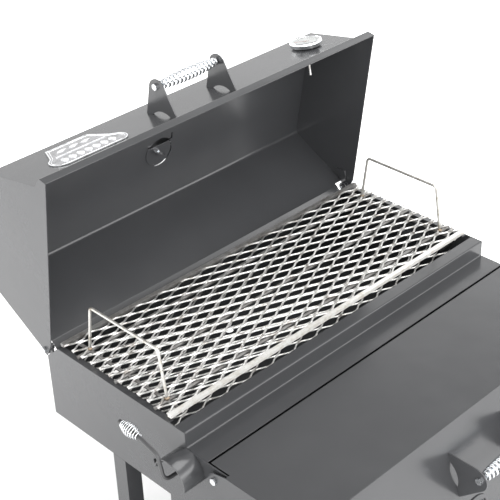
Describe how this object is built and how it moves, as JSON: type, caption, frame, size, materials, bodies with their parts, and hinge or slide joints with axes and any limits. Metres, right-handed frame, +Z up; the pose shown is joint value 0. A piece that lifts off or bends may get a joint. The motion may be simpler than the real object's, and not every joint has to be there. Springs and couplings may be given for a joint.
{
  "type": "offset smoker",
  "caption": "Black sheet steel smoker on legs: chamber with hinged shoebox lid and mesh grates, lidded firebox in front, damper, wheels",
  "frame": {"origin": "on the floor, centred under the whole machine with its smoker lid open", "axes": "+X along the chamber from the damper arm to the wheels, +Y from the firebox to the back, +Z up"},
  "size_m": [1.061, 1.0245, 1.3826],
  "materials": {
    "black_paint": "semi-gloss black powder coat",
    "black_rod": "satin black",
    "bare_steel": "bare mill-finish steel",
    "zinc": "bright zinc plate",
    "nickel_wire": "bright nickel plate",
    "chrome": "polished",
    "dial_face": "matt",
    "dial_glass": "clear",
    "needle_red": "matt",
    "black_plastic": "matt",
    "rubber": "matt"
  },
  "bodies": {
    "body": {"side_panel_left": "black_paint", "side_panel_right": "black_paint", "front_rail": "black_paint", "chamber_front_wall": "black_paint", "chamber_rear_wall": "black_paint", "chamber_floor": "black_paint", "firebox_front_wall": "black_paint", "firebox_rear_wall": "black_paint", "firebox_floor": "black_paint", "leg_rear_left": "black_paint", "leg_rear_right": "black_paint", "leg_front_left": "black_paint", "leg_front_right": "black_paint", "leg_glides": "black_plastic", "lower_shelf": "black_paint", "axle": "zinc", "axle_nuts": "zinc", "damper_guard": "black_paint", "chamber_hinge_lugs": "black_paint", "hinge_bolts": "zinc", "hinge_nuts": "zinc", "firebox_lid_stops": "black_paint", "grate_rails": "black_paint", "air_vent_bolt": "zinc"},
    "smoker_lid": {"lid_shell": "black_paint", "lid_cap_left": "black_paint", "lid_cap_right": "black_paint", "lid_hinge_lugs": "black_paint", "lid_handle_ears": "black_paint", "lid_handle_bolt": "zinc", "lid_handle_coil": "nickel_wire", "nameplate": "chrome", "thermometer_case": "chrome", "thermometer_dial": "dial_face", "thermometer_lens": "dial_glass", "thermometer_probe": "bare_steel", "exhaust_hood": "black_paint", "exhaust_bolt": "zinc"},
    "needle": {"thermometer_needle": "needle_red"},
    "exhaust_damper": {"exhaust_plate": "black_paint"},
    "wing_nut": {"exhaust_wing_nut": "zinc"},
    "front_wheel": {"wheel_front": "black_plastic", "tyre_front": "rubber"},
    "rear_wheel": {"wheel_rear": "black_plastic", "tyre_rear": "rubber"},
    "upper_grate": {"upper_grate_mesh": "bare_steel", "upper_grate_bars": "bare_steel", "upper_grate_handles": "bare_steel"},
    "lower_grate": {"lower_grate": "bare_steel"},
    "charcoal_grate": {"charcoal_grate": "bare_steel"},
    "firebox_lid": {"firebox_lid_shell": "black_paint", "firebox_lid_caps": "black_paint", "firebox_handle_ears": "black_paint", "firebox_handle_bolt": "zinc", "firebox_handle_coil": "nickel_wire"},
    "damper": {"damper_rod": "black_rod", "damper_flap": "black_paint", "damper_knob": "nickel_wire"},
    "drawer": {"ash_drawer": "black_paint"},
    "air_vent": {"air_vent_disc": "black_paint"}
  },
  "joints": [
    {"name": "smoker_lid_hinge", "type": "hinge", "parent": "body", "child": "smoker_lid", "pos_m": [0, 0.33729, 0.916], "axis": [1, 0, 0], "range_deg": [0, 80]},
    {"name": "firebox_lid_hinge", "type": "hinge", "parent": "body", "child": "firebox_lid", "pos_m": [0, -0.16671, 0.871], "axis": [1, 0, 0], "range_deg": [-95, 0]},
    {"name": "damper_turn", "type": "hinge", "parent": "body", "child": "damper", "pos_m": [0, -0.08571, 0.855], "axis": [1, 0, 0], "range_deg": [-70, 0]},
    {"name": "needle_turn", "type": "hinge", "parent": "smoker_lid", "child": "needle", "pos_m": [0.377, 0.38788, 1.31045], "axis": [0, 0.1822, 0.9833], "range_deg": [-140, 120], "stiffness_Nm_per_rad": 0.002},
    {"name": "exhaust_turn", "type": "hinge", "parent": "smoker_lid", "child": "exhaust_damper", "pos_m": [-0.016, 0.47762, 1.15098], "axis": [0, 0.9848, 0.1736], "range_deg": [-60, 60]},
    {"name": "wing_nut_turn", "type": "hinge", "parent": "smoker_lid", "child": "wing_nut", "pos_m": [-0.016, 0.4727, 1.15012], "axis": [0, 0.9848, 0.1736], "continuous": true},
    {"name": "front_wheel_spin", "type": "hinge", "parent": "body", "child": "front_wheel", "pos_m": [0.4305, -0.40571, 0.1], "axis": [0, 1, 0], "continuous": true},
    {"name": "rear_wheel_spin", "type": "hinge", "parent": "body", "child": "rear_wheel", "pos_m": [0.4305, 0.17529, 0.1], "axis": [0, 1, 0], "continuous": true},
    {"name": "upper_grate_lift", "type": "slide", "parent": "body", "child": "upper_grate", "axis": [0, 0, 1], "range_m": [0, 0.3]},
    {"name": "lower_grate_lift", "type": "slide", "parent": "body", "child": "lower_grate", "axis": [0, 0, 1], "range_m": [0, 0.03]},
    {"name": "charcoal_grate_lift", "type": "slide", "parent": "body", "child": "charcoal_grate", "axis": [0, 0, 1], "range_m": [0, 0.13]},
    {"name": "drawer_slide", "type": "slide", "parent": "body", "child": "drawer", "axis": [0, -1, 0], "range_m": [0, 0.34]},
    {"name": "air_vent_turn", "type": "hinge", "parent": "body", "child": "air_vent", "pos_m": [0, -0.42271, 0.63], "axis": [0, 1, 0], "range_deg": [-60, 60]}
  ]
}
